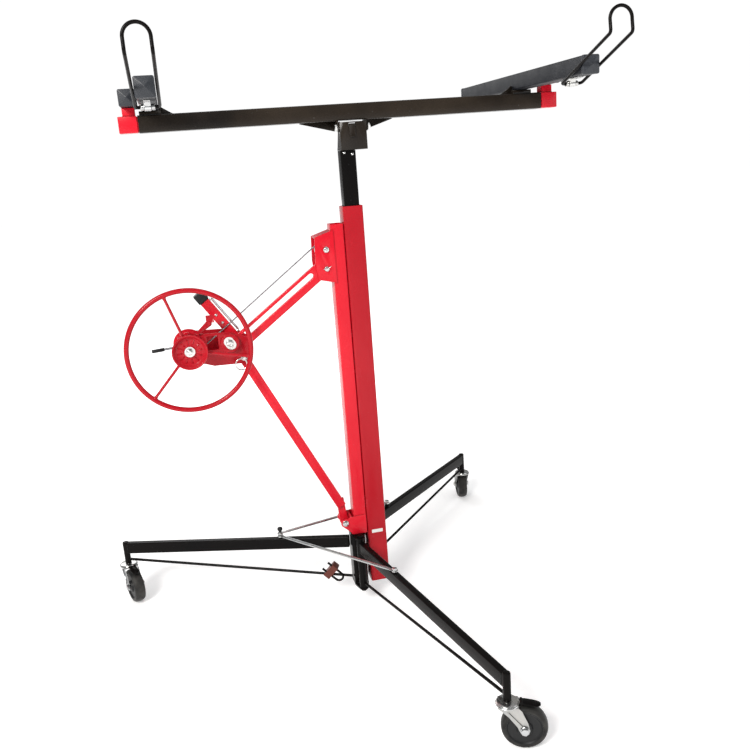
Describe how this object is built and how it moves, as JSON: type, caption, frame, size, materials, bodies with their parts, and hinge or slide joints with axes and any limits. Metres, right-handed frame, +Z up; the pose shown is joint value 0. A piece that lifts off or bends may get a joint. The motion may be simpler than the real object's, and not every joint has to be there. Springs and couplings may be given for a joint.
{
  "type": "drywall panel lift",
  "caption": "Wheeled tripod panel hoist: hand-wheel winch, telescoping mast and tilting cradle with extending arms and folding panel hooks.",
  "frame": {"origin": "on the floor, under the middle of the lift's bounding box", "axes": "+X along the cradle's beam, from the winch side to the other; +Y away from the panel hooks; +Z up the mast"},
  "size_m": [1.3326, 1.3825, 1.5206],
  "materials": {
    "red_paint": "gloss",
    "dark_red_paint": "gloss",
    "brown_paint": "satin",
    "black_paint": "gloss",
    "grey_paint": "matt",
    "black_plastic": "satin",
    "zinc_plate": "bright zinc",
    "bare_steel": "satin",
    "black_rubber": "matt"
  },
  "bodies": {
    "frame": {"base_hub": "black_paint", "frame_post": "red_paint", "lower_bracket": "red_paint", "winch_brace": "red_paint", "upper_arm": "red_paint", "pulley_housing": "red_paint", "pulley_axle": "zinc_plate", "housing_bolt": "zinc_plate", "brace_bolt": "zinc_plate", "front_leg_pin": "zinc_plate", "rear_leg_pin": "zinc_plate", "winch_leg": "black_paint", "latch_block": "brown_paint", "winch_frame": "red_paint", "idler_shaft": "zinc_plate", "handle_tube": "red_paint", "handle_cap": "black_plastic", "guide_rod": "zinc_plate", "lift_cable": "bare_steel"},
    "front_leg_body": {"front_leg": "black_paint"},
    "rear_leg_body": {"rear_leg": "black_paint"},
    "near_stay": {"near_stay_rod": "zinc_plate"},
    "far_stay": {"far_stay_rod": "zinc_plate"},
    "knob": {"stay_knob": "black_plastic"},
    "base_latch": {"latch_u_rod": "black_paint"},
    "outer_mast_body": {"outer_mast": "dark_red_paint"},
    "inner_mast_body": {"inner_mast": "black_paint", "saddle_bracket": "black_paint", "tilt_bolt": "zinc_plate"},
    "cradle": {"beam": "black_paint", "left_cross_arm": "grey_paint", "right_cross_arm": "grey_paint"},
    "saddle_latch": {"tilt_latch": "bare_steel"},
    "left_extension": {"left_outrigger": "red_paint", "left_t_tube": "grey_paint"},
    "right_extension": {"right_outrigger": "red_paint", "right_t_tube": "grey_paint"},
    "left_panel_hook": {"left_hook": "black_paint"},
    "right_panel_hook": {"right_hook": "black_paint"},
    "winch_rotor": {"winch_shaft": "zinc_plate", "cable_drum": "zinc_plate", "ratchet_wheel": "bare_steel", "hand_wheel": "red_paint"},
    "pulley": {"top_pulley": "zinc_plate"},
    "pawl": {"ratchet_pawl": "red_paint"},
    "lever": {"brake_lever": "bare_steel"},
    "pin": {"ring_pin": "zinc_plate"},
    "front_caster": {"front_caster_fork": "zinc_plate", "front_caster_axle": "zinc_plate"},
    "front_wheel": {"front_caster_wheel": "black_rubber"},
    "front_pedal": {"front_brake_pedal": "black_paint"},
    "rear_caster": {"rear_caster_fork": "zinc_plate", "rear_caster_axle": "zinc_plate"},
    "rear_wheel": {"rear_caster_wheel": "black_rubber"},
    "rear_pedal": {"rear_brake_pedal": "black_paint"},
    "winch_caster": {"winch_caster_fork": "zinc_plate", "winch_caster_axle": "zinc_plate"},
    "winch_wheel": {"winch_caster_wheel": "black_rubber"},
    "winch_pedal": {"winch_brake_pedal": "black_paint"}
  },
  "joints": [
    {"name": "front_leg_fold", "type": "hinge", "parent": "frame", "child": "front_leg_body", "pos_m": [0.0283, 0.0258, 0.13], "axis": [0, 0, 1], "range_deg": [-90, 0]},
    {"name": "rear_leg_fold", "type": "hinge", "parent": "frame", "child": "rear_leg_body", "pos_m": [0.0443, 0.1198, 0.13], "axis": [0, 0, 1], "range_deg": [0, 90]},
    {"name": "near_stay_swing", "type": "hinge", "parent": "front_leg_body", "child": "near_stay", "pos_m": [0.07616, -0.17354, 0.1985], "axis": [0, 0, 1], "range_deg": [0, 136]},
    {"name": "far_stay_swing", "type": "hinge", "parent": "rear_leg_body", "child": "far_stay", "pos_m": [0.16219, 0.23524, 0.2075], "axis": [0, 0, 1], "range_deg": [-118, 0]},
    {"name": "stay_knob_lift", "type": "slide", "parent": "frame", "child": "knob", "axis": [0, 0, 1], "range_m": [0, 0.01]},
    {"name": "base_latch_slide", "type": "slide", "parent": "frame", "child": "base_latch", "axis": [-0.686, 0.2702, 0.6756], "range_m": [0, 0.01]},
    {"name": "front_caster_swivel", "type": "hinge", "parent": "front_leg_body", "child": "front_caster", "pos_m": [0.19054, -0.65, 0.11], "axis": [0, 0, 1], "continuous": true},
    {"name": "front_wheel_roll", "type": "hinge", "parent": "front_caster", "child": "front_wheel", "pos_m": [0.22343, -0.66197, 0.0508], "axis": [0.342, 0.9397, 0], "continuous": true},
    {"name": "front_pedal_press", "type": "hinge", "parent": "front_caster", "child": "front_pedal", "pos_m": [0.21827, -0.66009, 0.1095], "axis": [0.342, 0.9397, 0], "range_deg": [0, 9]},
    {"name": "rear_caster_swivel", "type": "hinge", "parent": "rear_leg_body", "child": "rear_caster", "pos_m": [0.54086, 0.60607, 0.11], "axis": [0, 0, 1], "continuous": true},
    {"name": "rear_wheel_roll", "type": "hinge", "parent": "rear_caster", "child": "rear_wheel", "pos_m": [0.54633, 0.64064, 0.0508], "axis": [-0.9877, 0.1564, 0], "continuous": true},
    {"name": "rear_pedal_press", "type": "hinge", "parent": "rear_caster", "child": "rear_pedal", "pos_m": [0.54547, 0.6352, 0.1095], "axis": [-0.9877, 0.1564, 0], "range_deg": [0, 9]},
    {"name": "winch_caster_swivel", "type": "hinge", "parent": "frame", "child": "winch_caster", "pos_m": [-0.63834, 0.32652, 0.11], "axis": [0, 0, 1], "continuous": true},
    {"name": "winch_wheel_roll", "type": "hinge", "parent": "winch_caster", "child": "winch_wheel", "pos_m": [-0.6258, 0.29384, 0.0508], "axis": [0.9336, 0.3584, 0], "continuous": true},
    {"name": "winch_pedal_press", "type": "hinge", "parent": "winch_caster", "child": "winch_pedal", "pos_m": [-0.62777, 0.29898, 0.1095], "axis": [0.9336, 0.3584, 0], "range_deg": [0, 9]},
    {"name": "mast_lift", "type": "slide", "parent": "frame", "child": "outer_mast_body", "axis": [0, 0, 1], "range_m": [0, 0.93]},
    {"name": "inner_mast_lift", "type": "slide", "parent": "outer_mast_body", "child": "inner_mast_body", "axis": [0, 0, 1], "range_m": [0, 0.93]},
    {"name": "winch_turn", "type": "hinge", "parent": "frame", "child": "winch_rotor", "pos_m": [-0.3737, 0.0718, 0.814], "axis": [0, 1, 0], "range_deg": [0, 1905]},
    {"name": "pulley_turn", "type": "hinge", "parent": "frame", "child": "pulley", "pos_m": [0.0043, 0.0718, 1.03], "axis": [0, 1, 0], "range_deg": [-2370, 0]},
    {"name": "pawl_release", "type": "hinge", "parent": "frame", "child": "pawl", "pos_m": [-0.3177, 0.0398, 0.872], "axis": [0, 1, 0], "range_deg": [0, 25]},
    {"name": "brake_lever_swing", "type": "hinge", "parent": "frame", "child": "lever", "pos_m": [-0.3737, 0.0193, 0.814], "axis": [0, 1, 0], "range_deg": [-15, 20]},
    {"name": "ring_pin_pull", "type": "slide", "parent": "frame", "child": "pin", "axis": [0, -1, 0], "range_m": [0, 0.015]},
    {"name": "cradle_tilt", "type": "hinge", "parent": "inner_mast_body", "child": "cradle", "pos_m": [0.0998, 0.0518, 1.3315], "axis": [1, 0, 0], "range_deg": [-10, 65]},
    {"name": "tilt_latch_flip", "type": "hinge", "parent": "inner_mast_body", "child": "saddle_latch", "pos_m": [0.0998, 0.0386, 1.3385], "axis": [-1, 0, 0], "range_deg": [0, 60]},
    {"name": "left_extension_slide", "type": "slide", "parent": "cradle", "child": "left_extension", "axis": [-1, 0, 0], "range_m": [0, 0.25]},
    {"name": "right_extension_slide", "type": "slide", "parent": "cradle", "child": "right_extension", "axis": [1, 0, 0], "range_m": [0, 0.25]},
    {"name": "left_hook_fold", "type": "hinge", "parent": "cradle", "child": "left_panel_hook", "pos_m": [-0.3927, -0.2282, 1.387], "axis": [1, 0, 0], "range_deg": [0, 70], "stiffness_Nm_per_rad": 0.5, "springref_deg": -57.3},
    {"name": "right_hook_fold", "type": "hinge", "parent": "cradle", "child": "right_panel_hook", "pos_m": [0.5663, -0.2282, 1.387], "axis": [1, 0, 0], "range_deg": [0, 70], "stiffness_Nm_per_rad": 0.5, "springref_deg": -57.3}
  ],
  "couplings": [
    {"joint": "near_stay_swing", "follows": "front_leg_fold", "ratio": -1.5},
    {"joint": "far_stay_swing", "follows": "rear_leg_fold", "ratio": -1.3},
    {"joint": "inner_mast_lift", "follows": "mast_lift", "ratio": 1},
    {"joint": "winch_turn", "follows": "mast_lift", "rad_per_m": 35.714},
    {"joint": "pulley_turn", "follows": "mast_lift", "rad_per_m": -44.444}
  ]
}
